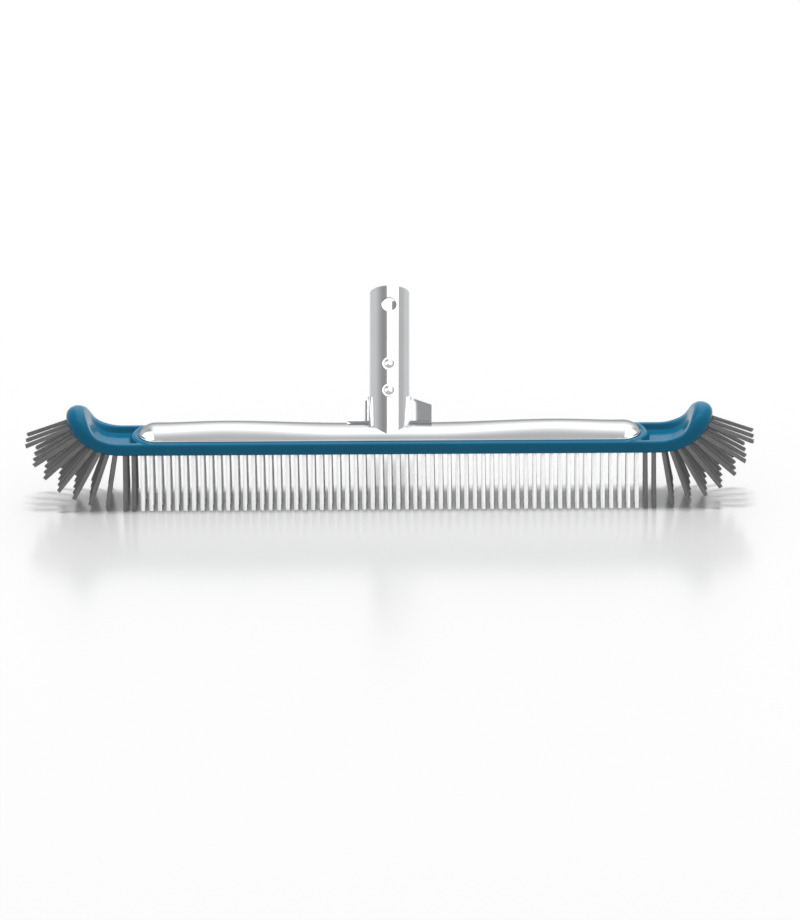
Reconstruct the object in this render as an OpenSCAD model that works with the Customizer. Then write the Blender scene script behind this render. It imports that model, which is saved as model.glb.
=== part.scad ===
// Pool wall brush: a moulded block with curled ends, an aluminium spine, a leaning pole
// socket on a folded bracket, and rows of bristle tufts with splayed end fans.
// Frame: +X along the brush, +Y towards the back, +Z up, with the origin on the floor
// under the middle tuft, whose trimmed end it stands on.

/* [Block] */
// Width of the block, front to back
block_w = 45; // [40:1:50]
// Thickness of the block in its straight part
block_t = 9.6; // [9:0.2:11]
// Distance from the middle to where each end starts to curl
curl_start = 210.9; // [205:0.1:216]
// Radius of the curled underside
curl_r = 49.6; // [46:0.1:54]
// Angle through which the underside curls up, to the tip of the nose
curl_angle = 66.2; // [62:0.1:68]
// Extra thickness at the nose
nose_extra = 6.2; // [3:0.1:6.8]
// Depth of the spoon-shaped trough in each end
trough_depth = 5; // [3:0.1:5.4]

/* [Spine] */
// Distance from the middle to each end of the spine
spine_half = 197.5; // [190:0.5:200]
// Half of the spine's width over its flat lips
spine_half_w = 17.4; // [16:0.1:18]
// Height of the dome over the lips at the middle
crest_middle = 5.7; // [5:0.1:7]
// Height of the dome over the lips where it is highest
crest_high = 8.6; // [7:0.1:9.5]
// Height of the dome over the lips near the ends
crest_end = 7.1; // [6:0.1:8]
// Thickness of the aluminium sheet
sheet_t = 1.2; // [1:0.1:1.5]

/* [Handle] */
// Outer diameter of the handle tube
tube_d = 31.75; // [30:0.05:33]
// Length of the handle tube along its front
tube_len = 129; // [110:1:150]
// Angle by which the tube leans back
lean = 45; // [45:1:45]
// Inner diameter of the pole socket
socket_d = 29; // [28.8:0.1:29.2]
// Depth of the pole socket
socket_depth = 58; // [50:1:60]
// Diameter of the lock button's cross hole
button_d = 12; // [8:0.5:13]
// Distance from the tube's mouth to the middle of the cross hole
button_from_mouth = 16.1; // [14:0.1:30]
// Distance from the tube's mouth to the upper rivet
upper_rivet_at = 68; // [66:1:72]
// Distance from the tube's mouth to the lower rivet
lower_rivet_at = 91; // [86:1:92]

/* [Bracket] */
// Thickness of the bracket sheet
bracket_t = 2; // [1.5:0.1:2.5]
// Distance from the middle to the outer edge of each wing
wing_reach = 33.2; // [28:0.1:36]
// Angle by which the wings sweep forward
wing_sweep = 19; // [10:1:25]

/* [Bristles] */
// Free length of the upright tufts
bristle_len = 44.4; // [38:0.1:50]
// Diameter of a white tuft
white_d = 3.3; // [2.4:0.1:3.4]
// Diameter of a grey tuft
grey_d = 3.6; // [2.2:0.1:3.8]
// Distance between tufts along a row
tuft_pitch = 6.7; // [6.5:0.1:6.8]
// Number of tufts in a white row, odd
row_tufts = 59; // [55:2:59]
// Distance between rows at the block
row_pitch = 9; // [8.5:0.1:9]
// Outward lean of the outermost rows
row_splay = 10; // [4:1:12]

/* [Hidden] */
$fn = 48;
eps = 0.01;
block_bottom = bristle_len;
block_top = block_bottom + block_t;
curl_z = block_bottom + curl_r;
// The lean is fixed, because the tube's saddle cut is worked out for it.
axis_y = sin(lean);
axis_z = cos(lean);
// The middle of the tube's mouth
mouth_y = 89.5;
mouth_z = 137.9;
tube_r = tube_d / 2;
lower_bore_r = socket_d / 2 - 0.25;
rivet_shank_r = 2.4;
base_rivet_r = 2;
base_rivet_y = row_pitch / 2;
base_rivet_head_r = 2.6;
cradle_r = tube_r + 1.9;
strap_half_w = 11;
collar_from_mouth = 92;
// The collar's front opening is a wedge, set this far behind the tube's middle and tilted so
// that it narrows downwards
opening_back = 3.6;
opening_tilt = -8.65;
flat_dome_half = 34;
high_dome_at = 130;
spine_end_len = 14;
lip_w = 1.2;
mid_r = curl_r - block_t / 2;
tip_s = mid_r * curl_angle * PI / 180;
tip_start_s = tip_s - block_w / 2;
edge_r = 2;
// Where the straight bar gives way to the shaped ends, midway between two tufts
bar_half = 26.5 * tuft_pitch;
rivet_from_mouth = [upper_rivet_at, lower_rivet_at];
nose_r = (block_t + nose_extra) / 2 - 0.3;
rows = [-2, -1, 0, 1, 2];
columns = [1, 2];
column_at = [201.3, 208];
// Each fan of end tufts, from the lowest: how many tufts it has
fan_tufts = [5, 5, 5, 5, 4, 4, 3];
// Where each fan leaves the curl, how far it tilts out, and how long its tufts are
fan_root = [5, 12.2, 19.4, 26.6, 34.3, 42.5, 52.5];
fan_tilt = [9.5, 19.6, 29.7, 39.8, 49.4, 58.6, 68.6];
fan_len = [44, 44, 44, 44, 44, 42.3, 39.1];
root_depth = 6;
end_root_depth = 3.2;
wire = 1.2;

blue = [0.10, 0.42, 0.56];
silver = [0.78, 0.79, 0.80];
bristle_white = [0.95, 0.95, 0.95];
bristle_grey = [0.42, 0.42, 0.43];

// 0 below 0, 1 above 1, and a smooth rise between
function smooth(t) = let (c = min(1, max(0, t))) c * c * (3 - 2 * c);
function mix(a, b, t) = a + (b - a) * t;

// ---- A closed solid through a list of cross-sections with the same number of points ----
module loft(sections) {
  count = len(sections);
  n = len(sections[0]);
  points = [for (s = sections) for (p = s) p];
  sides = [for (i = [0:count - 2]) for (j = [0:n - 1]) let (a = i * n + j, b = i * n + (j + 1) % n)
    each [[a, b, b + n], [a, b + n, a + n]]];
  first = [for (j = [n - 1:-1:0]) j];
  last = [for (j = [0:n - 1]) (count - 1) * n + j];
  polyhedron(points, concat(sides, [first, last]), convexity = 6);
}

// Keeps a shape and its size, as a single mesh
module one_mesh() {
  resize([0, 0, 0]) children();
}

// ---- Spine: a domed sheet with flat lips and rounded ends ----
function crest(x) = let (
    rise = smooth((abs(x) - flat_dome_half) / (high_dome_at - flat_dome_half)),
    fall = smooth((abs(x) - high_dome_at) / (spine_half - spine_end_len - high_dome_at))
  ) crest_middle + (crest_high - crest_middle) * rise - (crest_high - crest_end) * fall;

// How far a place is into the rounded end, from 0 to 1 at the tip of an outline set in by inset
function end_share(x, inset) = min(1,
    max(0, (abs(x) - spine_half + spine_end_len) / (spine_end_len - inset)));

function outline_half_w(x, inset) =
    (spine_half_w - inset) * sqrt(max(0.002, 1 - pow(end_share(x, inset), 2)));

function dome_h(x, y, inset, drop) = let (
    half_w = spine_half_w - inset,
    rho2 = pow(y / half_w, 2) + pow(end_share(x, inset), 2)
  ) max(0, crest(x) + sheet_t - drop) * sqrt(max(0, 1 - rho2));

function spine_section(x) = let (
    steps = 14,
    outer = outline_half_w(x, lip_w),
    inner = outline_half_w(x, lip_w + sheet_t),
    lip = outline_half_w(x, 0)
  ) concat(
    [[x, -lip, block_top], [x, -lip, block_top + sheet_t]],
    [for (i = [0:steps]) let (y = -outer * cos(180 * i / steps))
      [x, y, block_top + max(sheet_t, dome_h(x, y, lip_w, 0))]],
    [[x, lip, block_top + sheet_t], [x, lip, block_top]],
    [for (i = [0:steps]) let (y = inner * cos(180 * i / steps))
      [x, y, block_top + dome_h(x, y, lip_w + sheet_t, sheet_t)]]
  );

function spine_stations() = let (
    end = [for (t = [1, 0.95, 0.85, 0.7, 0.5, 0.25]) spine_half - spine_end_len * (1 - t)],
    long = [for (x = [spine_half - spine_end_len:-14:flat_dome_half + 5]) x],
    right = concat(end, long, [flat_dome_half])
  ) concat([for (x = right) -x], [for (i = [len(right) - 1:-1:0]) right[i]]);

// The space under the spine's outer surface near the middle, lifted by lift
module dome_space(lift, length) {
  steps = 28;
  half_w = spine_half_w - lip_w;
  translate([length / 2, 0, 0]) rotate([90, 0, -90]) linear_extrude(length)
    polygon(concat(
      [[half_w + lift, 0], [half_w + lift, block_top + sheet_t + lift]],
      [for (i = [1:steps - 1]) let (y = half_w * cos(180 * i / steps))
        [y, block_top + lift + max(sheet_t, dome_h(0, y, lip_w, 0))]],
      [[-half_w - lift, block_top + sheet_t + lift], [-half_w - lift, 0]]
    ));
}

module spine_cover() {
  color(silver) one_mesh() difference() {
    loft([for (x = spine_stations()) spine_section(x)]);
    base_rivet_holes(base_rivet_r);
  }
}

// ---- Block: swept along X, then round the curl of each end ----
function curl_share(s) = smooth((s * 180 / PI / mid_r - 26) / 30);

function block_half_w(s) = s <= tip_start_s ? block_w / 2
  : sqrt(max(0.5, pow(block_w / 2, 2) - pow(s - tip_start_s, 2)));

// Distance of a place from the block's outline, inwards
function edge_dist(s, y) = s <= tip_start_s ? block_w / 2 - abs(y)
  : max(0, block_w / 2 - norm([s - tip_start_s, y]));

function round_in(d, r) = r - sqrt(max(0, r * r - pow(r - min(max(d, 0), r), 2)));

// Distance of a place outside the spine's outline, along the straight part
function spine_gap(x, y) =
    (norm([max(0, x - spine_half + spine_end_len) / spine_end_len, y / spine_half_w]) - 1) * 15;

// s is the distance past the start of the curl, negative on the straight part.
function underside(s, y) = let (k = curl_share(s), r = mix(edge_r, nose_r, k))
    -0.9 * k + round_in(edge_dist(s, y), r);

function upper_side(s, y) = let (
    k = curl_share(s),
    d = edge_dist(s, y),
    r = mix(edge_r, nose_r, k),
    gap = s > 0 ? 30 : spine_gap(curl_start + s, y),
    fade = 1 - smooth((s - 9) / 27),
    near_rim = mix(4.2, 8, smooth(s / 40)),
    far_rim = mix(7.6, 19, smooth(s / 40)),
    hollow = smooth((d - near_rim) / (far_rim - near_rim)) * smooth((gap - 5.5) / 2.5),
    bead = s > 0 ? 0 : 1.2 * smooth((s + 26) / 8) * exp(-pow((gap - 3) / 1.9, 2))
      * smooth(d / 3)
  ) block_t + (nose_extra - 0.9) * k - round_in(d, r) - trough_depth * fade * hollow + bead;

// A place on the block: s along it, y across and h up from the underside's line
function on_block(s, y, h) = let (
    a = max(0, s) / mid_r * 180 / PI,
    along = curl_start + min(0, s)
  ) [along + (curl_r - h) * sin(a), y, curl_z - (curl_r - h) * cos(a)];

function block_section(s, side) = let (
    w = block_half_w(s),
    spread = [-1, -0.985, -0.95, -0.9, -0.85, -0.8, -0.75, -0.69, -0.62, -0.5, -0.3, 0,
      0.3, 0.5, 0.62, 0.69, 0.75, 0.8, 0.85, 0.9, 0.95, 0.985, 1],
    under = [1, 0.985, 0.95, 0.88, 0.6, 0, -0.6, -0.88, -0.95, -0.985, -1],
    top = [for (t = spread) on_block(s, t * w, upper_side(s, t * w))],
    low = [for (t = under) on_block(s, t * w, underside(s, t * w))]
  ) [for (p = concat(top, low)) [side * p[0], p[1], p[2]]];

function block_stations() = concat(
    [bar_half - curl_start],
    [for (s = [-27.5:2.5:0]) s],
    [for (i = [1:14]) tip_start_s * i / 14],
    [for (i = [1:9]) tip_start_s + (tip_s - tip_start_s) * sin(10 * i)]
  );

module block_end(side) {
  stations = block_stations();
  sections = [for (s = stations) block_section(s, side)];
  order = side > 0 ? sections : [for (i = [len(sections) - 1:-1:0]) sections[i]];
  one_mesh() loft(order);
}

module block_bar() {
  translate([-bar_half, 0, 0]) rotate([90, 0, 90]) linear_extrude(2 * bar_half)
    polygon([for (p = block_section(bar_half - curl_start, 1)) [p[1], p[2]]]);
}

// Two posts that carry the bracket's rivets up to the underside of the spine
module rivet_posts() {
  intersection() {
    for (side = [-1, 1]) translate([side * tuft_pitch, base_rivet_y, block_top - 1])
      cylinder(r = 4.5, h = 10);
    translate([0, 0, -sheet_t]) dome_space(0, 2 * flat_dome_half);
  }
}

module brush_block() {
  color(blue) difference() {
    union() {
      block_bar();
      block_end(-1);
      block_end(1);
      rivet_posts();
    }
    base_rivet_holes(base_rivet_r);
    for (r = rows) white_row(r);
    for (side = [-1, 1]) {
      for (c = columns) grey_column(side, c);
      for (f = [0:len(fan_tufts) - 1]) grey_fan(side, f);
    }
  }
}

// ---- Tufts: each row is folded over one drawing wire inside the block ----
function splay_at(y) = row_splay * y / (2 * row_pitch);

module white_row(r) {
  y = r * row_pitch;
  reach = (row_tufts - 1) / 2 * tuft_pitch;
  length = block_bottom / cos(splay_at(y)) + 2;
  difference() {
    translate([0, y, block_bottom]) rotate([splay_at(y), 0, 0]) {
      for (i = [0:row_tufts - 1]) translate([i * tuft_pitch - reach, 0, -length])
        cylinder(d = white_d, h = length + root_depth);
      translate([-reach, -wire / 2, root_depth - wire]) cube([2 * reach, wire, wire]);
    }
    translate([-reach - 5, y - 20, -10]) cube([2 * reach + 10, 40, 10]);
  }
}

module grey_column(side, c) {
  length = block_bottom + 2;
  half = 2 * row_pitch;
  translate([side * column_at[c - 1], 0, 0]) difference() {
    union() {
      for (r = rows) translate([0, r * row_pitch, block_bottom]) rotate([splay_at(r * row_pitch), 0, 0])
        translate([0, 0, -length]) cylinder(d = grey_d, h = length + end_root_depth);
      translate([-wire / 2, -half, block_bottom + end_root_depth - 1.8]) cube([wire, 2 * half, wire]);
    }
    translate([-5, -40, -10]) cube([10, 80, 10]);
  }
}

// f counts from 0 at the lowest fan.
module grey_fan(side, f) {
  count = fan_tufts[f];
  root = fan_root[f];
  half = (count - 1) / 2 * row_pitch;
  mirror([side > 0 ? 0 : 1, 0, 0])
    translate([curl_start + curl_r * sin(root), 0, curl_z - curl_r * cos(root)])
      rotate([0, -fan_tilt[f], 0]) {
        for (i = [0:count - 1]) let (y = i * row_pitch - half)
          translate([0, y, 0]) rotate([splay_at(y), 0, 0]) translate([0, 0, -fan_len[f]])
            cylinder(d = grey_d, h = fan_len[f] + end_root_depth);
        translate([-wire / 2, -half, end_root_depth - 1.8]) cube([wire, 2 * half, wire]);
      }
}

module white_tufts(r) { color(bristle_white) white_row(r); }
module grey_tufts_column(side, c) { color(bristle_grey) grey_column(side, c); }
module grey_tufts_fan(side, f) { color(bristle_grey) grey_fan(side, f); }

// ---- Handle: everything in the tube's own frame, with Z up its axis and -Y its front ----
module at_mouth() {
  translate([0, mouth_y, mouth_z]) rotate([-lean, 0, 0]) children();
}

// What the tube, the plug and the bracket may not enter: the spine in front, and the
// bracket's base and the space behind the brush further back
module under_handle(lift, from_y) {
  dome_space(0, 80);
  intersection() {
    dome_space(lift, 80);
    translate([-40, from_y, 0]) cube([80, 60, 90]);
  }
  translate([-40, 8, 0]) cube([80, 80, block_top + 6.7]);
  translate([-40, -80, 0]) cube([80, 100, block_top + sheet_t]);
}

module handle_tube() {
  color(silver) difference() {
    at_mouth() difference() {
      translate([0, 0, -tube_len - 25]) cylinder(d = tube_d, h = tube_len + 25, $fn = 96);
      translate([0, 0, -socket_depth]) cylinder(d = socket_d, h = socket_depth + 1, $fn = 96);
      translate([0, 0, -tube_len - 30]) cylinder(r = lower_bore_r, h = tube_len + 30, $fn = 96);
      translate([0, 0, -button_from_mouth]) rotate([90, 0, 0])
        cylinder(d = button_d, h = 40, center = true);
      tube_rivet_holes();
    }
    under_handle(bracket_t, 5);
  }
}

module tube_rivet_holes() {
  for (d = rivet_from_mouth) translate([0, 0, -d]) rotate([90, 0, 0])
    cylinder(r = rivet_shank_r, h = 60, center = true);
}

module socket_plug() {
  color([0.25, 0.26, 0.28]) difference() {
    at_mouth() difference() {
      translate([0, 0, -98]) cylinder(r = lower_bore_r, h = 98 - socket_depth, $fn = 96);
      tube_rivet_holes();
    }
    under_handle(bracket_t, 5);
  }
}

// The cross-section of one wing of the bracket, in the tube's own frame: it leaves the
// collar's side and sweeps forward
function wing_points() = let (
    root_x = cradle_r - 0.5,
    reach = wing_reach - root_x,
    rise = reach * tan(wing_sweep)
  ) [
    [root_x, bracket_t - 0.5], [root_x, -0.5], [wing_reach, -0.5 - rise],
    [wing_reach, bracket_t - 0.5 - rise]
  ];

module wing() {
  difference() {
    translate([0, 0, -140]) linear_extrude(140 - collar_from_mouth + 1.4) polygon(wing_points());
    translate([cradle_r - 0.5, -20, -collar_from_mouth + 1.4]) rotate([0, 28, 0]) cube([40, 40, 30]);
  }
}

// The collar round the tube's back and sides, open at the front between its two cheeks
module collar() {
  difference() {
    translate([0, 0, -140]) cylinder(r = cradle_r, h = 140 - collar_from_mouth, $fn = 96);
    translate([0, opening_back, -collar_from_mouth]) rotate([opening_tilt, 0, 0])
      translate([0, 0, -60]) linear_extrude(70) polygon([[0, 0], [-33.2, -22.4], [33.2, -22.4]]);
  }
}

module bracket_body() {
  difference() {
    union() {
      collar();
      intersection() {
        translate([0, 0, -100]) cylinder(r = cradle_r, h = 42, $fn = 96);
        translate([-strap_half_w, 0, -150]) cube([2 * strap_half_w, 30, 150]);
      }
      for (side = [0, 1]) mirror([side, 0, 0]) wing();
    }
    translate([0, 0, -160]) cylinder(d = tube_d, h = 160, $fn = 96);
    tube_rivet_holes();
  }
}

module bracket_base() {
  difference() {
    intersection() {
      dome_space(bracket_t, 2 * wing_reach);
      union() {
        translate([-wing_reach, 5, block_top + sheet_t + 0.4]) cube([2 * wing_reach, 11.8, 20]);
        translate([-10.4, 0.9, block_top + 3]) cube([20.8, 5, 20]);
      }
    }
    dome_space(0, 80);
  }
}

module handle_bracket() {
  color(silver) difference() {
    union() {
      difference() {
        at_mouth() bracket_body();
        dome_space(0, 80);
        translate([-40, -80, 0]) cube([80, 160, block_top + sheet_t + 0.4]);
      }
      bracket_base();
    }
    base_rivet_holes(base_rivet_r);
  }
}

// ---- Rivets ----
// A flange of radius r and thickness rim, with a dome of radius dome on it, h high in all
module domed_head(r, rim, dome, h) {
  rise = h - rim;
  ball = (dome * dome + rise * rise) / (2 * rise);
  cylinder(r = r, h = rim);
  intersection() {
    translate([0, 0, h - ball]) sphere(ball);
    translate([0, 0, rim - eps]) cylinder(r = dome, h = h);
  }
}

module tube_rivet(index) {
  color(silver) at_mouth() translate([0, 0, -rivet_from_mouth[index]]) {
    rotate([90, 0, 0]) translate([0, 0, -cradle_r]) cylinder(r = rivet_shank_r, h = cradle_r + tube_r);
    difference() {
      rotate([90, 0, 0]) translate([0, 0, tube_r - 1]) domed_head(5.4, 1.8, 4.2, 3.8);
      translate([0, 0, -20]) cylinder(d = tube_d, h = 40, $fn = 96);
    }
    difference() {
      rotate([-90, 0, 0]) translate([0, 0, cradle_r - 0.6]) domed_head(4, 1.2, 3.2, 2.4);
      translate([0, 0, -20]) cylinder(r = cradle_r, h = 40, $fn = 96);
    }
  }
}

module base_rivet_holes(r) {
  for (side = [-1, 1]) translate([side * tuft_pitch, base_rivet_y, block_bottom - 5])
    cylinder(r = r, h = 40);
}

module base_rivets() {
  head_z = block_top + sheet_t + crest_middle + bracket_t;
  color(silver) for (side = [-1, 1]) translate([side * tuft_pitch, base_rivet_y, 0]) {
    translate([0, 0, block_bottom]) cylinder(r = base_rivet_r, h = head_z - block_bottom + 0.5);
    translate([0, 0, head_z]) domed_head(3.4, 0.6, 2.6, 1.6);
    translate([0, 0, block_bottom]) mirror([0, 0, 1]) domed_head(base_rivet_head_r, 0.5, 2, 1.4);
  }
}

brush_block();
spine_cover();
handle_tube();
handle_bracket();
socket_plug();
tube_rivet(0);  // upper_tube_rivet
tube_rivet(1);  // lower_tube_rivet
base_rivets();
white_tufts(-2);  // white_row_1
white_tufts(-1);  // white_row_2
white_tufts(0);  // white_row_3
white_tufts(1);  // white_row_4
white_tufts(2);  // white_row_5
grey_tufts_column(-1, 1);  // left_column_1
grey_tufts_column(-1, 2);  // left_column_2
grey_tufts_column(1, 1);  // right_column_1
grey_tufts_column(1, 2);  // right_column_2
grey_tufts_fan(-1, 0);  // left_fan_1
grey_tufts_fan(-1, 1);  // left_fan_2
grey_tufts_fan(-1, 2);  // left_fan_3
grey_tufts_fan(-1, 3);  // left_fan_4
grey_tufts_fan(-1, 4);  // left_fan_5
grey_tufts_fan(-1, 5);  // left_fan_6
grey_tufts_fan(-1, 6);  // left_fan_7
grey_tufts_fan(1, 0);  // right_fan_1
grey_tufts_fan(1, 1);  // right_fan_2
grey_tufts_fan(1, 2);  // right_fan_3
grey_tufts_fan(1, 3);  // right_fan_4
grey_tufts_fan(1, 4);  // right_fan_5
grey_tufts_fan(1, 5);  // right_fan_6
grey_tufts_fan(1, 6);  // right_fan_7
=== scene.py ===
"""The looks of the pool wall brush: smooth skins, bundles of filaments, materials, studio, camera.

+X runs along the brush, +Y towards the back and +Z up. Shapes are worked out in millimetres and
turned into metres when they become meshes; lights and camera are in metres.
"""
import math
import random

import bmesh
import bpy
import numpy as np
from mathutils import Matrix, Vector


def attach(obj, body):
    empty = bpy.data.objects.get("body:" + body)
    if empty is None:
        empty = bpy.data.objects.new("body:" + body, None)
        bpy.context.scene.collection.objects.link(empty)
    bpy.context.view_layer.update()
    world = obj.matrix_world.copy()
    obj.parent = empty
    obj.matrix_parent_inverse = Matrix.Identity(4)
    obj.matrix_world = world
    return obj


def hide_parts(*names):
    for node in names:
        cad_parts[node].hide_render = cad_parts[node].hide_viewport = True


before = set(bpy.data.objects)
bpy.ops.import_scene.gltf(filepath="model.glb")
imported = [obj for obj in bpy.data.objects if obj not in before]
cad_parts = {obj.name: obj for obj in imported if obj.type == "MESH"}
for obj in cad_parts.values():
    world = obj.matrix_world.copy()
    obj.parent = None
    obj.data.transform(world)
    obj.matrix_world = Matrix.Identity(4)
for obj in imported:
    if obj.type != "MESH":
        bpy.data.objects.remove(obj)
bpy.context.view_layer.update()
scene = bpy.context.scene
MM = 0.001

# ---------------------------------------------------------------- the CAD model's numbers, in mm
BLOCK_W = 45.0
BLOCK_T = 9.6
CURL_START = 210.9
CURL_R = 49.6
CURL_ANGLE = 66.2
NOSE_EXTRA = 6.2
TROUGH = 5.0
SPINE_HALF = 197.5
SPINE_HALF_W = 17.4
SPINE_END = 14.0
CREST_MIDDLE = 5.7
CREST_HIGH = 8.6
CREST_END = 7.1
FLAT_HALF = 34.0
HIGH_AT = 130.0
SHEET = 1.2
LIP = 1.2
BOTTOM = 44.4
EDGE_R = 2.0
TUBE_R = 15.875
SOCKET_R = 14.5
LOWER_BORE_R = 14.25
BRACKET_GAP = 1.9
LEAN = 45.0
MOUTH = Vector((0, 89.5, 137.9))
ROW_PITCH = 9.0
ROW_SPLAY = 10.0
TUFT_PITCH = 6.7
ROW_TUFTS = 59
COLUMN_AT = (201.3, 208.0)

# Each fan of end tufts, from the lowest: how many tufts, where it leaves the curl in degrees,
# how far it tilts out in degrees, and how long its tufts are
FAN_TUFTS = (5, 5, 5, 5, 4, 4, 3)
FAN_ROOT = (5, 12.2, 19.4, 26.6, 34.3, 42.5, 52.5)
FAN_TILT = (9.5, 19.6, 29.7, 39.8, 49.4, 58.6, 68.6)
FAN_LENGTH = (44, 44, 44, 44, 44, 42.3, 39.1)

TOP = BOTTOM + BLOCK_T
CURL_Z = BOTTOM + CURL_R
MID_R = CURL_R - BLOCK_T / 2
TIP_S = MID_R * math.radians(CURL_ANGLE)
TIP_START = TIP_S - BLOCK_W / 2
NOSE_R = (BLOCK_T + NOSE_EXTRA) / 2 - 0.3


def smooth(t):
    """0 below 0, 1 above 1, and a smooth rise between."""
    c = min(1.0, max(0.0, t))
    return c * c * (3 - 2 * c)


def mix(a, b, t):
    return a + (b - a) * t


# ---------------------------------------------------------------- mesh helpers
def link_object(name, mesh):
    obj = bpy.data.objects.new(name, mesh)
    scene.collection.objects.link(obj)
    return obj


def new_object(name, verts, faces, smooth_angle):
    """An object from points in mm, smooth but for edges sharper than smooth_angle degrees."""
    mesh = bpy.data.meshes.new(name)
    mesh.from_pydata([tuple(c * MM for c in v) for v in verts], [], faces)
    mesh.validate()
    bm = bmesh.new()
    bm.from_mesh(mesh)
    bmesh.ops.recalc_face_normals(bm, faces=bm.faces)
    bm.to_mesh(mesh)
    bm.free()
    mesh.polygons.foreach_set("use_smooth", [True] * len(mesh.polygons))
    mesh.set_sharp_from_angle(angle=math.radians(smooth_angle))
    return link_object(name, mesh)


def skin(sections):
    """Faces between closed rings with the same number of points, with both ends closed."""
    n = len(sections[0])
    verts = [p for s in sections for p in s]
    faces = []
    for i in range(len(sections) - 1):
        for j in range(n):
            a = i * n + j
            b = i * n + (j + 1) % n
            faces.append((a, b, b + n, a + n))
    faces.append(tuple(range(n - 1, -1, -1)))
    last = (len(sections) - 1) * n
    faces.append(tuple(last + j for j in range(n)))
    return verts, faces


# ---------------------------------------------------------------- block
# s is the distance past the start of the curl, negative on the straight part; y runs across.
# The nose swells from SWELL_FROM degrees round the curl, over SWELL_OVER degrees.
SWELL_FROM = 26
SWELL_OVER = 30
NOSE_LIFT = 0.9
TIP_FLOOR = 0.3
# The trough fades out past the start of the curl, and its rim widens over RIM_RUN
FADE_FROM = 9
FADE_OVER = 27
RIM_RUN = 40
NEAR_RIM = (4.2, 8)
FAR_RIM = (7.6, 19)
# The trough stays TROUGH_GAP clear of the spine, and a bead runs round the spine's end
TROUGH_GAP = 5.5
TROUGH_EASE = 2.5
GAP_SCALE = 15
NO_SPINE_NEAR = 30.0
BEAD_H = 1.2
BEAD_AT = 3
BEAD_W = 1.9
BEAD_BACK = 26
BEAD_EASE = 8
BEAD_EDGE = 3
BLOCK_TOP_STEPS = 88
BLOCK_LOW_STEPS = 40
BAR_STATIONS = 22
BAR_STEP = 7.5
END_BACK = 45.0
END_STEP = 0.9
CURL_STATIONS = 34
TIP_STATIONS = 36


def curl_share(s):
    return smooth((math.degrees(s / MID_R) - SWELL_FROM) / SWELL_OVER)


def block_half_w(s):
    if s <= TIP_START:
        return BLOCK_W / 2
    return math.sqrt(max(TIP_FLOOR, (BLOCK_W / 2) ** 2 - (s - TIP_START) ** 2))


def edge_dist(s, y):
    """Distance of a place from the block's outline, inwards."""
    if s <= TIP_START:
        return BLOCK_W / 2 - abs(y)
    return max(0.0, BLOCK_W / 2 - math.hypot(s - TIP_START, y))


def round_in(d, r):
    return r - math.sqrt(max(0.0, r * r - (r - min(max(d, 0.0), r)) ** 2))


def spine_gap(x, y):
    """Distance of a place outside the spine's outline, roughly."""
    past_end = max(0.0, x - SPINE_HALF + SPINE_END) / SPINE_END
    return (math.hypot(past_end, y / SPINE_HALF_W) - 1) * GAP_SCALE


def underside(s, y):
    k = curl_share(s)
    return -NOSE_LIFT * k + round_in(edge_dist(s, y), mix(EDGE_R, NOSE_R, k))


def spine_bead(s, d, gap):
    if s > 0:
        return 0.0
    profile = math.exp(-(((gap - BEAD_AT) / BEAD_W) ** 2))
    return BEAD_H * smooth((s + BEAD_BACK) / BEAD_EASE) * profile * smooth(d / BEAD_EDGE)


def upper_side(s, y):
    k = curl_share(s)
    d = edge_dist(s, y)
    gap = NO_SPINE_NEAR if s > 0 else spine_gap(CURL_START + s, y)
    fade = 1 - smooth((s - FADE_FROM) / FADE_OVER)
    near_rim = mix(*NEAR_RIM, smooth(s / RIM_RUN))
    far_rim = mix(*FAR_RIM, smooth(s / RIM_RUN))
    inside_rim = smooth((d - near_rim) / (far_rim - near_rim))
    hollow = inside_rim * smooth((gap - TROUGH_GAP) / TROUGH_EASE)
    top = BLOCK_T + (NOSE_EXTRA - NOSE_LIFT) * k - round_in(d, mix(EDGE_R, NOSE_R, k))
    return top - TROUGH * fade * hollow + spine_bead(s, d, gap)


def on_block(s, y, h, side):
    """The place s along the block, y across it and h up from the underside's line."""
    a = max(0.0, s) / MID_R
    along = CURL_START + min(0.0, s)
    x = side * (along + (CURL_R - h) * math.sin(a))
    return (x, y, CURL_Z - (CURL_R - h) * math.cos(a))


def block_ring(s, side):
    w = block_half_w(s)
    ring = []
    for i in range(BLOCK_TOP_STEPS + 1):
        y = -w * math.cos(math.pi * i / BLOCK_TOP_STEPS)
        ring.append(on_block(s, y, upper_side(s, y), side))
    for i in range(BLOCK_LOW_STEPS + 1):
        y = w * math.cos(math.pi * i / BLOCK_LOW_STEPS)
        ring.append(on_block(s, y, underside(s, y), side))
    return ring


def block_stations():
    """From the middle of the bar to the tip of the nose, closer together where more happens."""
    bar = [-CURL_START + BAR_STEP * i for i in range(BAR_STATIONS)]
    end = [float(s) for s in np.arange(-END_BACK, 0.01, END_STEP)]
    curl = [float(s) for s in np.linspace(END_STEP, TIP_START, CURL_STATIONS)]
    tip_angles = np.linspace(2.5, 90, TIP_STATIONS)
    tip = [TIP_START + (TIP_S - TIP_START) * math.sin(math.radians(a)) for a in tip_angles]
    return bar + end + curl + tip


def make_block():
    stations = block_stations()
    left = [block_ring(s, -1) for s in reversed(stations)]
    right = [block_ring(s, 1) for s in stations[1:]]
    verts, faces = skin(left + right)
    return new_object("moulded_block", verts, faces, 50)


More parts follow.
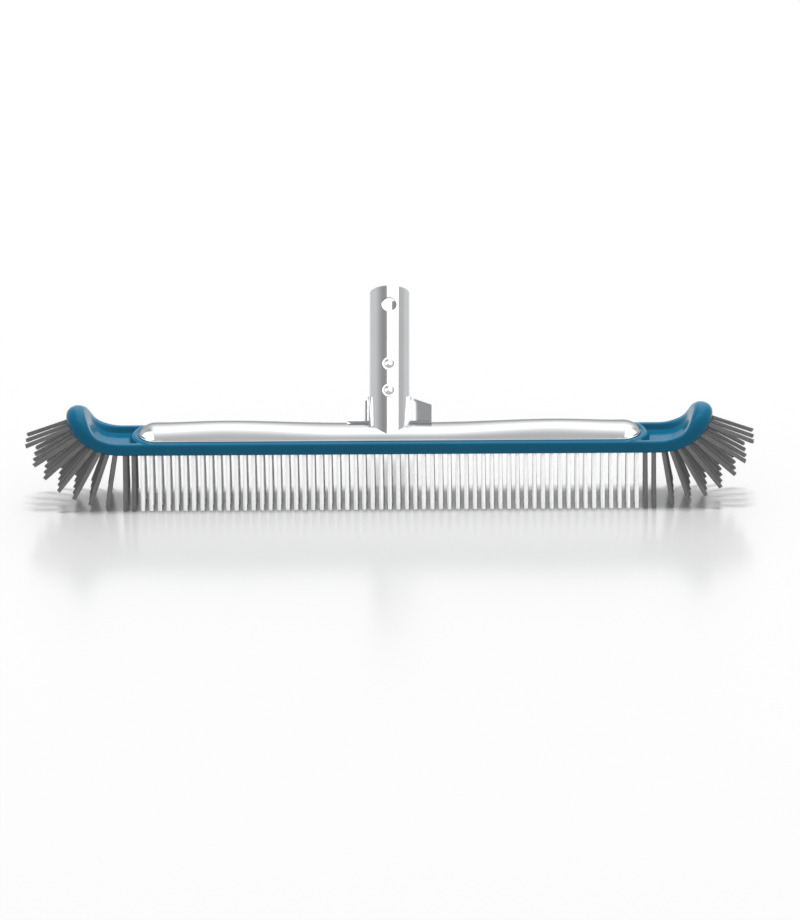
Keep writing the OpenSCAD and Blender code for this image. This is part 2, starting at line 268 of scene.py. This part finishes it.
# ---------------------------------------------------------------- spine
# Near each end the rim between dome and lip narrows to END_RIM, and the dome blends into the lip
# over a wider band
END_BLEND_BACK = 26
END_BLEND_OVER = 16
END_RIM = 0.5
BLEND_BAR = 0.7
BLEND_END = 3.2
OUTLINE_FLOOR = 0.0015
LIP_ROUND = 0.4
LIP_ROUND_SHARE = 0.2
LIP_FOOT = 0.1
LIP_ANGLES = (0.5, 1.0, 1.57)
DOME_STEPS = 72
INNER_STEPS = 24
SPINE_END_STATIONS = 30
SPINE_STEP = 4


def crest(x):
    rise = smooth((abs(x) - FLAT_HALF) / (HIGH_AT - FLAT_HALF))
    fall = smooth((abs(x) - HIGH_AT) / (SPINE_HALF - SPINE_END - HIGH_AT))
    return CREST_MIDDLE + (CREST_HIGH - CREST_MIDDLE) * rise - (CREST_HIGH - CREST_END) * fall


def end_share(x, inset):
    """How far x is into the rounded end, 1 at the tip of an outline set in by inset."""
    return min(1.0, max(0.0, (abs(x) - SPINE_HALF + SPINE_END) / (SPINE_END - inset)))


def outline_half_w(x, inset):
    return (SPINE_HALF_W - inset) * math.sqrt(max(OUTLINE_FLOOR, 1 - end_share(x, inset) ** 2))


def dome_h(x, y, inset, drop):
    rho2 = (y / (SPINE_HALF_W - inset)) ** 2 + end_share(x, inset) ** 2
    return max(0.0, crest(x) + SHEET - drop) * math.sqrt(max(0.0, 1 - rho2))


def soft_max(a, b, k):
    """The greater of a and b, rounded where they are within k of each other."""
    h = max(0.0, k - abs(a - b)) / k
    return max(a, b) + h * h * k / 4


def lip_round(x, edge, side, r, angles):
    """The rounded upper edge of the flat lip, on the side given."""
    centre_z = TOP + SHEET - r
    return [(x, side * (edge - r * (1 - math.cos(a))), centre_z + r * math.sin(a)) for a in angles]


def spine_ring(x):
    at_end = smooth((abs(x) - SPINE_HALF + END_BLEND_BACK) / END_BLEND_OVER)
    rim = mix(LIP, END_RIM, at_end)
    blend = mix(BLEND_BAR, BLEND_END, at_end)
    outer = outline_half_w(x, rim)
    inner = outline_half_w(x, LIP + SHEET)
    lip = outline_half_w(x, 0)
    r = min(LIP_ROUND, lip * LIP_ROUND_SHARE)
    ring = [(x, -lip + r, TOP), (x, -lip, TOP + LIP_FOOT), (x, -lip, TOP + SHEET - r)]
    ring += lip_round(x, lip, -1, r, LIP_ANGLES)
    for i in range(DOME_STEPS + 1):
        y = -outer * math.cos(math.pi * i / DOME_STEPS)
        ring.append((x, y, TOP + soft_max(SHEET, dome_h(x, y, rim, 0), blend)))
    ring += lip_round(x, lip, 1, r, reversed(LIP_ANGLES))
    ring += [(x, lip, TOP + SHEET - r), (x, lip, TOP + LIP_FOOT), (x, lip - r, TOP)]
    for i in range(INNER_STEPS + 1):
        y = inner * math.cos(math.pi * i / INNER_STEPS)
        ring.append((x, y, TOP + dome_h(x, y, LIP + SHEET, SHEET)))
    return ring


def make_spine():
    angles = np.linspace(90, 0, SPINE_END_STATIONS)
    end = [SPINE_HALF - SPINE_END * (1 - math.sin(math.radians(a))) for a in angles]
    body = [float(x) for x in np.arange(SPINE_HALF - SPINE_END - SPINE_STEP, 0, -SPINE_STEP)]
    right = end + body
    xs = [-x for x in right] + [0.0] + right[::-1]
    verts, faces = skin([spine_ring(x) for x in xs])
    return new_object("domed_spine", verts, faces, 40)


# ---------------------------------------------------------------- pieces refined from the CAD
WELD = 2e-6
FLAT_ANGLE = 0.5
BEVEL_ANGLE = 50
ON_CYLINDER = 0.06


def clean_copy(name, node, bevel):
    """A triangulated copy of a CAD node's mesh, with its edges bevelled by bevel mm."""
    bm = bmesh.new()
    bm.from_mesh(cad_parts[node].data)
    bmesh.ops.remove_doubles(bm, verts=bm.verts, dist=WELD)
    bmesh.ops.dissolve_limit(bm, angle_limit=math.radians(FLAT_ANGLE), verts=bm.verts, edges=bm.edges)
    if bevel:
        sharp = math.radians(BEVEL_ANGLE)
        edges = [e for e in bm.edges if len(e.link_faces) == 2 and e.calc_face_angle(0) > sharp]
        bmesh.ops.bevel(
            bm, geom=edges, offset=bevel * MM, offset_type="OFFSET", segments=2, profile=0.5,
            affect="EDGES", clamp_overlap=True,
        )
    bmesh.ops.triangulate(bm, faces=bm.faces)
    mesh = bpy.data.meshes.new(name)
    bm.to_mesh(mesh)
    bm.free()
    return mesh


def smooth_corners(poly, around, limit):
    """A normal for each corner of poly, averaged over the faces that meet it at a small angle."""
    corners = []
    for vi in poly.vertices:
        total = Vector((0, 0, 0))
        for n, area in around[vi]:
            if n.dot(poly.normal) > limit:
                total += n * area
        corners.append(total.normalized() if total.length > 0 else poly.normal)
    return corners


def radial_corners(mesh, poly, cylinder):
    """The true normals of a face that lies on the cylinder, or None if it doesn't."""
    start, axis, radius = cylinder
    radial = []
    for vi in poly.vertices:
        p = mesh.vertices[vi].co / MM - start
        radial.append(p - axis * p.dot(axis))
    if not all(abs(r.length - radius) < ON_CYLINDER for r in radial):
        return None
    sign = 1 if poly.normal.dot(radial[0] + radial[1] + radial[2]) > 0 else -1
    return [r.normalized() * sign for r in radial]


def refine(name, node, bevel, sharp, cylinders=()):
    """A copy of a CAD node with softened edges and true normals on its round faces."""
    mesh = clean_copy(name, node, bevel)
    mesh.polygons.foreach_set("use_smooth", [True] * len(mesh.polygons))
    mesh.edges.foreach_set("use_edge_sharp", [True] * len(mesh.edges))
    around = [[] for _ in mesh.vertices]
    for poly in mesh.polygons:
        for vi in poly.vertices:
            around[vi].append((poly.normal.copy(), poly.area))
    limit = math.cos(math.radians(sharp))
    normals = [None] * len(mesh.loops)
    for poly in mesh.polygons:
        corners = smooth_corners(poly, around, limit)
        for cylinder in cylinders:
            found = radial_corners(mesh, poly, cylinder)
            if found:
                corners = found
                break
        for li, n in zip(poly.loop_indices, corners):
            normals[li] = tuple(n)
    mesh.normals_split_custom_set(normals)
    return link_object(name, mesh)


# ---------------------------------------------------------------- bristles
# How a bundle is made, in mm: the filaments' spacing and radius, how much wider the bundle is at
# its tip, and how far a filament wanders from its place
FRONT_WHITE = {"pitch": 0.45, "thick": 0.235, "flare": 1.06, "wander": 0.04}
BACK_WHITE = {"pitch": 0.45, "thick": 0.235, "flare": 1.3, "wander": 0.04}
COLUMN_GREY = {"pitch": 0.49, "thick": 0.25, "flare": 1.06, "wander": 0.04}
FAN_GREY = {"pitch": 0.49, "thick": 0.25, "flare": 1.06, "wander": 0.05}
BUNDLE_RINGS = 3
FILAMENT_RINGS = 4
FILAMENT_SIDES = 5
FILAMENT_TAPER = 0.9
FLARE_POWER = 1.5
BOW_SHARE = 0.6
UNEVEN_TIP = 0.035
ROOT_DEPTH = 4.0
SMOOTH_FILAMENT = 60
WHITE_SEED = 100
COLUMN_SEED = 200
FAN_SEED = 300


def hexagon_places():
    """The middle place and BUNDLE_RINGS hexagonal rings round it, one unit apart."""
    places = [(0.0, 0.0)]
    for ring in range(1, BUNDLE_RINGS + 1):
        for k in range(6 * ring):
            side, step = divmod(k, ring)
            a0 = math.radians(60 * side)
            a1 = math.radians(60 * side + 120)
            places.append((
                ring * math.cos(a0) + step * math.cos(a1),
                ring * math.sin(a0) + step * math.sin(a1),
            ))
    return places


FILAMENT_PLACES = hexagon_places()


def tube_faces_from(base):
    """Faces of one filament whose rings of points start at base, with both ends closed."""
    faces = []
    for i in range(FILAMENT_RINGS - 1):
        for k in range(FILAMENT_SIDES):
            a = base + i * FILAMENT_SIDES + k
            b = base + i * FILAMENT_SIDES + (k + 1) % FILAMENT_SIDES
            faces.append((a, b, b + FILAMENT_SIDES, a + FILAMENT_SIDES))
    faces.append(tuple(base + k for k in range(FILAMENT_SIDES - 1, -1, -1)))
    last = base + (FILAMENT_RINGS - 1) * FILAMENT_SIDES
    faces.append(tuple(last + k for k in range(FILAMENT_SIDES)))
    return faces


def tuft(verts, faces, root, direction, length, cut_z, rng, style):
    """One bundle of filaments from root along direction; with a cut_z, they all end there."""
    wander = style["wander"]
    d = direction.normalized()
    u = d.cross(Vector((0, 1, 0))).normalized()
    v = d.cross(u).normalized()
    turn = rng.uniform(0, math.pi)
    for hx, hy in FILAMENT_PLACES:
        cx = hx * math.cos(turn) - hy * math.sin(turn)
        cy = hx * math.sin(turn) + hy * math.cos(turn)
        jx, jy = rng.gauss(0, wander), rng.gauss(0, wander)
        bow_x, bow_y = rng.gauss(0, wander * BOW_SHARE), rng.gauss(0, wander * BOW_SHARE)
        reach = length * (1 + (rng.uniform(-UNEVEN_TIP, 0.0) if cut_z is None else 0))
        base = len(verts)
        for i in range(FILAMENT_RINGS):
            t = i / (FILAMENT_RINGS - 1)
            cut_here = cut_z is not None and i == FILAMENT_RINGS - 1
            spread = mix(1.0, style["flare"], t ** FLARE_POWER)
            bow = 4 * t * (1 - t)
            ox = (cx * style["pitch"] * spread) + jx * t + bow_x * bow
            oy = (cy * style["pitch"] * spread) + jy * t + bow_y * bow
            along = -ROOT_DEPTH + (reach + ROOT_DEPTH) * t
            p = root + d * along + u * ox + v * oy
            if cut_here:
                p = p + d * ((cut_z - p.z) / d.z)
            radius = style["thick"] * mix(1.0, FILAMENT_TAPER, t)
            for k in range(FILAMENT_SIDES):
                a = 2 * math.pi * k / FILAMENT_SIDES
                q = p + u * (radius * math.cos(a)) + v * (radius * math.sin(a))
                if cut_here:
                    q.z = cut_z
                verts.append(tuple(q))
        faces += tube_faces_from(base)


def splay_dir(y, tilt=0.0, side=1):
    """Down the tuft: splayed by its row's y, then tilted out by tilt towards side."""
    a = math.radians(ROW_SPLAY * y / (2 * ROW_PITCH))
    d = Vector((0, math.sin(a), -math.cos(a)))
    t = math.radians(tilt)
    return Vector((side * -d.z * math.sin(t), d.y, d.z * math.cos(t)))


def bristles(name, tufts, seed, style):
    rng = random.Random(seed)
    verts, faces = [], []
    for root, direction, length, cut in tufts:
        tuft(verts, faces, root, direction, length, cut, rng, style)
    return new_object(name, verts, faces, SMOOTH_FILAMENT)


def upright_tuft(x, y):
    """A tuft from the block's underside down to the floor: root, direction, length, cut height."""
    return (Vector((x, y, BOTTOM)), splay_dir(y), BOTTOM, 0.0)


def white_row(r):
    y = (r - 3) * ROW_PITCH
    reach = (ROW_TUFTS - 1) / 2 * TUFT_PITCH
    return [upright_tuft(i * TUFT_PITCH - reach, y) for i in range(ROW_TUFTS)]


def grey_column(side, c):
    x = side * COLUMN_AT[c - 1]
    return [upright_tuft(x, r * ROW_PITCH) for r in range(-2, 3)]


def grey_fan(side, f):
    count = FAN_TUFTS[f]
    root = math.radians(FAN_ROOT[f])
    half = (count - 1) / 2 * ROW_PITCH
    x = CURL_START + CURL_R * math.sin(root)
    z = CURL_Z - CURL_R * math.cos(root)
    out = []
    for i in range(count):
        y = i * ROW_PITCH - half
        out.append((Vector((side * x, y, z)), splay_dir(y, FAN_TILT[f], side), FAN_LENGTH[f], None))
    return out


# ---------------------------------------------------------------- materials
COLOUR_STOPS = (0.3, 0.7)
NO_TURN = (0, 0, 0)
ALONG_TUBE = (math.radians(LEAN), 0, 0)
BLUE_LOW = (0.0020, 0.098, 0.180)
BLUE_HIGH = (0.0030, 0.110, 0.200)
BLACK_LOW = (0.030, 0.031, 0.034)
BLACK_HIGH = (0.045, 0.046, 0.050)
BRIGHT_METAL = (0.62, 0.625, 0.635)
RIVET_BASE = (0.60, 0.60, 0.61)
WHITE_LOW = (0.88, 0.885, 0.89)
WHITE_HIGH = (0.94, 0.94, 0.94)
GREY_LOW = (0.115, 0.115, 0.117)
GREY_HIGH = (0.150, 0.150, 0.153)
FLOOR_GREY = (0.42, 0.42, 0.42, 1)


def material(name):
    m = bpy.data.materials.new(name)
    m.use_nodes = True
    nodes = m.node_tree.nodes
    return m, nodes, m.node_tree.links, nodes["Principled BSDF"]


def add(nodes, kind, **values):
    n = nodes.new(kind)
    for key, value in values.items():
        setattr(n, key, value)
    return n


def object_space(nodes, links, scale=(1, 1, 1), rotation=NO_TURN):
    coords = add(nodes, "ShaderNodeTexCoord")
    mapping = add(nodes, "ShaderNodeMapping")
    mapping.inputs["Scale"].default_value = scale
    mapping.inputs["Rotation"].default_value = rotation
    links.new(coords.outputs["Object"], mapping.inputs["Vector"])
    return mapping.outputs["Vector"]


def noise(nodes, links, vector, scale, detail, rough=0.5):
    n = add(nodes, "ShaderNodeTexNoise")
    n.inputs["Scale"].default_value = scale
    n.inputs["Detail"].default_value = detail
    n.inputs["Roughness"].default_value = rough
    links.new(vector, n.inputs["Vector"])
    return n.outputs["Fac"]


def ramp(nodes, links, fac, stops):
    n = add(nodes, "ShaderNodeValToRGB")
    e = n.color_ramp.elements
    while len(e) < len(stops):
        e.new(0.5)
    for i, (pos, colour) in enumerate(stops):
        e[i].position = pos
        e[i].color = (*colour, 1)
    links.new(fac, n.inputs["Fac"])
    return n.outputs["Color"]


def mottled_base(nodes, links, bsdf, fac, low, high):
    """A base colour that drifts between low and high with fac."""
    stops = list(zip(COLOUR_STOPS, (low, high)))
    links.new(ramp(nodes, links, fac, stops), bsdf.inputs["Base Color"])


def mottled_roughness(nodes, links, bsdf, fac, low, high):
    n = add(nodes, "ShaderNodeMapRange")
    n.inputs["To Min"].default_value = low
    n.inputs["To Max"].default_value = high
    links.new(fac, n.inputs["Value"])
    links.new(n.outputs["Result"], bsdf.inputs["Roughness"])


def bump(nodes, links, bsdf, height, distance, strength):
    n = add(nodes, "ShaderNodeBump")
    n.inputs["Distance"].default_value = distance
    n.inputs["Strength"].default_value = strength
    links.new(height, n.inputs["Height"])
    links.new(n.outputs["Normal"], bsdf.inputs["Normal"])


def moulded_plastic():
    m, nodes, links, bsdf = material("moulded_blue_plastic")
    v = object_space(nodes, links)
    cloud = noise(nodes, links, v, 14.0, 2.0)
    mottled_base(nodes, links, bsdf, cloud, BLUE_LOW, BLUE_HIGH)
    fine = noise(nodes, links, v, 1400.0, 2.0)
    mottled_roughness(nodes, links, bsdf, fine, 0.10, 0.16)
    bump(nodes, links, bsdf, fine, 0.00001, 0.4)
    bsdf.inputs["Specular IOR Level"].default_value = 0.14
    return m


def aluminium(name, base, grain_scale, rotation, rough_low, rough_high, edge=1.0):
    """Brushed metal; its grain is stretched by grain_scale, and edge tints it at grazing angles."""
    m, nodes, links, bsdf = material(name)
    grain = noise(nodes, links, object_space(nodes, links, grain_scale, rotation), 1.0, 4.0, 0.6)
    cloud = noise(nodes, links, object_space(nodes, links), 22.0, 3.0)
    low = tuple(c * 0.97 for c in base)
    high = tuple(min(1.0, c * 1.03) for c in base)
    mottled_base(nodes, links, bsdf, cloud, low, high)
    mottled_roughness(nodes, links, bsdf, grain, rough_low, rough_high)
    bsdf.inputs["Metallic"].default_value = 1.0
    bsdf.inputs["Specular Tint"].default_value = (edge, edge, edge, 1)
    bump(nodes, links, bsdf, grain, 0.00001, 0.35)
    return m


def bristle_nylon(name, low, high, rough):
    """Nylon with fine streaks that run down the filaments."""
    m, nodes, links, bsdf = material(name)
    streak = noise(nodes, links, object_space(nodes, links, (900, 900, 30)), 1.0, 2.0)
    mottled_base(nodes, links, bsdf, streak, low, high)
    bsdf.inputs["Roughness"].default_value = rough
    bump(nodes, links, bsdf, streak, 0.00002, 0.3)
    return m


def matte_black():
    m, nodes, links, bsdf = material("plug_plastic")
    fine = noise(nodes, links, object_space(nodes, links), 900.0, 3.0)
    mottled_base(nodes, links, bsdf, fine, BLACK_LOW, BLACK_HIGH)
    bsdf.inputs["Roughness"].default_value = 0.6
    bump(nodes, links, bsdf, fine, 0.00004, 0.5)
    return m


def pale_floor():
    m, _, _, bsdf = material("pale_floor")
    bsdf.inputs["Base Color"].default_value = FLOOR_GREY
    bsdf.inputs["Roughness"].default_value = 0.2
    bsdf.inputs["Specular IOR Level"].default_value = 0.3
    return m


BLUE = moulded_plastic()
SPINE_METAL = aluminium("spine_aluminium", BRIGHT_METAL, (6, 900, 900), NO_TURN, 0.07, 0.13, 0.45)
TUBE_METAL = aluminium("tube_aluminium", BRIGHT_METAL, (700, 700, 8), ALONG_TUBE, 0.09, 0.16)
FOLDED_METAL = aluminium("bracket_aluminium", BRIGHT_METAL, (700, 700, 40), ALONG_TUBE, 0.18, 0.26)
RIVET_METAL = aluminium("rivet_aluminium", RIVET_BASE, (300, 300, 300), NO_TURN, 0.14, 0.24)
WHITE = bristle_nylon("white_bristle", WHITE_LOW, WHITE_HIGH, 0.42)
GREY = bristle_nylon("grey_bristle", GREY_LOW, GREY_HIGH, 0.5)
PLUG = matte_black()


# ---------------------------------------------------------------- build
def place(obj, mat, slot_name, *nodes):
    """Gives a piece its material, hangs it on the root body and hides the CAD nodes it replaces."""
    obj.data.materials.clear()
    obj.data.materials.append(mat)
    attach(obj, "root")
    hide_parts(*nodes)
    return obj


def place_tufts(node, tufts, seed, style, mat, slot_name):
    return place(bristles("bristles_" + node, tufts, seed, style), mat, slot_name, node)


block = place(make_block(), BLUE, "block_plastic", "brush_block")
spine = place(make_spine(), SPINE_METAL, "spine_aluminium", "spine_cover")

axis = Vector((0, 1, 1)).normalized()
tube_walls = [(MOUTH, axis, r) for r in (TUBE_R, SOCKET_R, LOWER_BORE_R)]
collar_walls = [(MOUTH, axis, r) for r in (TUBE_R, TUBE_R + BRACKET_GAP)]
tube = place(
    refine("socket_tube", "handle_tube", 0.25, 30, tube_walls),
    TUBE_METAL, "tube_aluminium", "handle_tube",
)
bracket = place(
    refine("folded_bracket", "handle_bracket", 0.0, 20, collar_walls),
    FOLDED_METAL, "bracket_aluminium", "handle_bracket",
)
place(refine("pole_stop", "socket_plug", 0.3, 30), PLUG, "plug_plastic", "socket_plug")
rivets = [
    place(refine("rivet_" + n, n, 0.0, 35), RIVET_METAL, "rivet_aluminium", n)
    for n in ("upper_tube_rivet", "lower_tube_rivet", "base_rivets")
]

white_tufts = []
for r in range(1, 6):
    style = FRONT_WHITE if r == 1 else BACK_WHITE
    white_tufts.append(
        place_tufts(f"white_row_{r}", white_row(r), WHITE_SEED + r, style, WHITE, "white_bristle")
    )

grey_tufts = []
for name, side in (("left", -1), ("right", 1)):
    for c in (1, 2):
        seed = COLUMN_SEED + 10 * c + side
        node = f"{name}_column_{c}"
        grey_tufts.append(
            place_tufts(node, grey_column(side, c), seed, COLUMN_GREY, GREY, "grey_bristle")
        )
    for f in range(len(FAN_TUFTS)):
        seed = FAN_SEED + 10 * f + side
        node = f"{name}_fan_{f + 1}"
        grey_tufts.append(place_tufts(node, grey_fan(side, f), seed, FAN_GREY, GREY, "grey_bristle"))


# ---------------------------------------------------------------- floor
FLOOR_HALF = 14.0
FLOOR_CELLS = 24
FLOOR_Z = -0.0002


def make_floor():
    """A wide square grid just under the tufts' tips."""
    line = [-FLOOR_HALF + 2 * FLOOR_HALF * i / FLOOR_CELLS for i in range(FLOOR_CELLS + 1)]
    verts = [(x, y, FLOOR_Z) for y in line for x in line]
    row = FLOOR_CELLS + 1
    faces = [
        (j * row + i, j * row + i + 1, (j + 1) * row + i + 1, (j + 1) * row + i)
        for j in range(FLOOR_CELLS) for i in range(FLOOR_CELLS)
    ]
    mesh = bpy.data.meshes.new("floor")
    mesh.from_pydata(verts, [], faces)
    obj = link_object("floor", mesh)
    mesh.materials.append(pale_floor())
    return obj


floor = make_floor()


# ---------------------------------------------------------------- light from all round
SKY_STRENGTH = 2.0
# Brightness by angle in degrees: 0 is the horizon at the back, 90 overhead, 180 at the front
SKY = (
    (0, 0.95), (9, 0.93), (20, 1.25), (31, 1.6), (42, 1.9), (50, 2.0), (66, 2.0), (74, 1.5),
    (82, 1.3), (90, 1.08), (111, 0.80), (141, 0.70), (180, 0.80),
)
# A side panel: brightness at the lower and upper height, those heights, and the sideways
# directions between which it fades in
LEFT_PANEL = {"low": 0.86, "high": 0.42, "z_low": 0.35, "z_high": 0.80, "x_from": -0.08, "x_to": -0.34}
RIGHT_PANEL = {"low": 0.95, "high": 0.70, "z_low": 0.00, "z_high": 0.44, "x_from": 0.30, "x_to": 0.62}


def side_panel(nodes, links, split, panel, under):
    """Lays a panel over the colour under, on one side of the sky."""
    level = add(nodes, "ShaderNodeMapRange")
    level.inputs["From Min"].default_value = panel["z_low"]
    level.inputs["From Max"].default_value = panel["z_high"]
    level.inputs["To Min"].default_value = panel["low"] / SKY_STRENGTH
    level.inputs["To Max"].default_value = panel["high"] / SKY_STRENGTH
    links.new(split.outputs["Z"], level.inputs["Value"])
    share = add(nodes, "ShaderNodeMapRange", interpolation_type="SMOOTHSTEP")
    share.inputs["From Min"].default_value = panel["x_from"]
    share.inputs["From Max"].default_value = panel["x_to"]
    links.new(split.outputs["X"], share.inputs["Value"])
    # A colour mix has its factor at input 0, its colours at 6 and 7 and its result at output 2
    blend = add(nodes, "ShaderNodeMix", data_type="RGBA")
    links.new(share.outputs[0], blend.inputs[0])
    links.new(under, blend.inputs[6])
    links.new(level.outputs[0], blend.inputs[7])
    return blend.outputs[2]


def make_world():
    world = bpy.data.worlds.new("studio")
    scene.world = world
    world.use_nodes = True
    nodes, links = world.node_tree.nodes, world.node_tree.links
    nodes.clear()
    coords = add(nodes, "ShaderNodeTexCoord")
    split = add(nodes, "ShaderNodeSeparateXYZ")
    links.new(coords.outputs["Generated"], split.inputs[0])
    angle = add(nodes, "ShaderNodeMath", operation="ARCTAN2")
    links.new(split.outputs["Z"], angle.inputs[0])
    links.new(split.outputs["Y"], angle.inputs[1])
    turn = add(nodes, "ShaderNodeMath", operation="DIVIDE")
    links.new(angle.outputs[0], turn.inputs[0])
    turn.inputs[1].default_value = math.pi
    stops = [(degrees / 180, (level / SKY_STRENGTH,) * 3) for degrees, level in SKY]
    band = ramp(nodes, links, turn.outputs[0], stops)
    band = side_panel(nodes, links, split, LEFT_PANEL, band)
    band = side_panel(nodes, links, split, RIGHT_PANEL, band)
    background = add(nodes, "ShaderNodeBackground")
    links.new(band, background.inputs["Color"])
    background.inputs["Strength"].default_value = SKY_STRENGTH
    out = add(nodes, "ShaderNodeOutputWorld")
    links.new(background.outputs[0], out.inputs[0])


# ---------------------------------------------------------------- lamps
def light_only(obj, receivers):
    """Makes a lamp light only its receivers."""
    group = bpy.data.collections.new(obj.name + "_receivers")
    for o in receivers:
        group.objects.link(o)
    obj.light_linking.receiver_collection = group


def floor_light(name, strength, spread, tilt):
    """A sun on the floor alone; spread is its angular size and tilt its lean, in degrees."""
    data = bpy.data.lights.new(name, "SUN")
    data.energy = strength
    data.angle = math.radians(spread)
    obj = link_object(name, data)
    obj.location = (0, 0, 3)
    obj.rotation_euler = (math.radians(tilt), 0, 0)
    light_only(obj, [floor])


def softbox(name, target, direction, distance, size, radiance, receivers, roll_to, glossy=True):
    """A rectangular lamp that faces target from direction, its width turned along roll_to."""
    width, height = size
    data = bpy.data.lights.new(name, "AREA")
    data.shape = "RECTANGLE"
    data.size, data.size_y = width, height
    data.energy = radiance * math.pi * width * height
    obj = link_object(name, data)
    d = direction.normalized()
    x_axis = (roll_to - d * roll_to.dot(d)).normalized()
    y_axis = d.cross(x_axis)
    m = Matrix((x_axis, y_axis, d)).transposed().to_4x4()
    m.translation = target + d * distance
    obj.matrix_world = m
    obj.visible_camera = False
    obj.visible_glossy = glossy
    light_only(obj, receivers)


ACROSS = Vector((1, 0, 0))
BACKWARDS = Vector((0, 1, 0))
TUBE_MIDDLE = MOUTH * MM - axis * 0.05
BLOCK_MIDDLE = Vector((0, 0, 0.06))
TUFT_MIDDLE = Vector((0, 0, 0.03))
SPINE_TIP_X = 0.17
# From the camera's side, so that the shadows fall out of sight
FROM_CAMERA = Vector((0.015, -0.93, 0.37))
# Mirrored by the front of the tube as one bright stripe along it
TUBE_STRIPE_FROM = Vector((0.3136, -0.3276, 0.8915))
TUBE_STRIPE_ROLL = Vector((0.94, 0.2418, -0.2418))

make_world()
floor_light("floor_sun", 3.1, 12, -8)
floor_light("floor_haze", 0.9, 80, -50)
softbox(
    "tube_softbox", TUBE_MIDDLE, TUBE_STRIPE_FROM, 1.5, (1.67, 2.4), 2.2,
    [tube, bracket, *rivets], TUBE_STRIPE_ROLL,
)
softbox(
    "block_softbox", BLOCK_MIDDLE, Vector((0, 0.3, 1)), 1.2, (2.2, 0.45), 5.5, [block], ACROSS,
    glossy=False,
)
softbox("block_glint", BLOCK_MIDDLE, Vector((0, -0.05, 1)), 1.2, (1.8, 0.14), 3.0, [block], ACROSS)
for name, radiance, lit in (
    ("grey_fill", 110, grey_tufts), ("white_fill", 30, white_tufts), ("white_front", 18, white_tufts[:1]),
):
    softbox(name, TUFT_MIDDLE, FROM_CAMERA, 3.0, (0.4, 0.4), radiance, lit, ACROSS, glossy=False)
softbox(
    "white_side", TUFT_MIDDLE, Vector((-0.6, -0.8, 0.2)), 1.8, (1.2, 1.2), 2.0, white_tufts[1:],
    Vector((0.8, -0.6, 0)), glossy=False,
)
softbox(
    "white_key", TUFT_MIDDLE, Vector((0.9, -0.5, 0.3)), 1.8, (1.2, 1.2), 2.6, white_tufts[:1],
    Vector((0.5, 0.9, 0)),
)
for name, side in (("left", -1), ("right", 1)):
    softbox(
        "spine_end_" + name, Vector((SPINE_TIP_X * side, 0, 0.06)), Vector((0.8 * side, -0.15, 0.7)),
        1.2, (2.2, 1.8), 1.4, [spine], BACKWARDS,
    )
softbox(
    "rivet_softbox", TUBE_MIDDLE, Vector((-0.7, -0.25, 0.66)), 1.2, (1.1, 1.1), 1.6, rivets, BACKWARDS,
)

# ---------------------------------------------------------------- camera
CAMERA_YAW = 0.88
CAMERA_LIFT = 21.5
CAMERA_ROLL = 0.68
CAMERA_DISTANCE = 7.0
SENSOR_WIDTH = 36.0
# How much of the scene fits across the picture at the aim point, in metres
VIEW_WIDTH = 0.7246
AIM_POINT = Vector((0, 0, 0.050))
AIM_RIGHT = 0.00827
AIM_DOWN = 0.0173


def make_camera():
    data = bpy.data.cameras.new("camera")
    camera = link_object("camera", data)
    scene.camera = camera
    yaw = math.radians(CAMERA_YAW)
    lift = math.radians(CAMERA_LIFT)
    roll = math.radians(CAMERA_ROLL)
    back = Vector((math.sin(yaw) * math.cos(lift), -math.cos(yaw) * math.cos(lift), math.sin(lift)))
    level_right = Vector((math.cos(yaw), math.sin(yaw), 0))
    level_up = back.cross(level_right)
    right = level_right * math.cos(roll) - level_up * math.sin(roll)
    up = level_up * math.cos(roll) + level_right * math.sin(roll)
    aim = AIM_POINT + right * AIM_RIGHT - up * AIM_DOWN
    camera.matrix_world = Matrix((right, up, back)).transposed().to_4x4()
    camera.location = aim + back * CAMERA_DISTANCE
    data.sensor_width = SENSOR_WIDTH
    data.lens = SENSOR_WIDTH * CAMERA_DISTANCE / VIEW_WIDTH
    data.clip_start, data.clip_end = 0.1, 60.0


make_camera()
scene.view_settings.view_transform = "Standard"
scene.view_settings.look = "None"
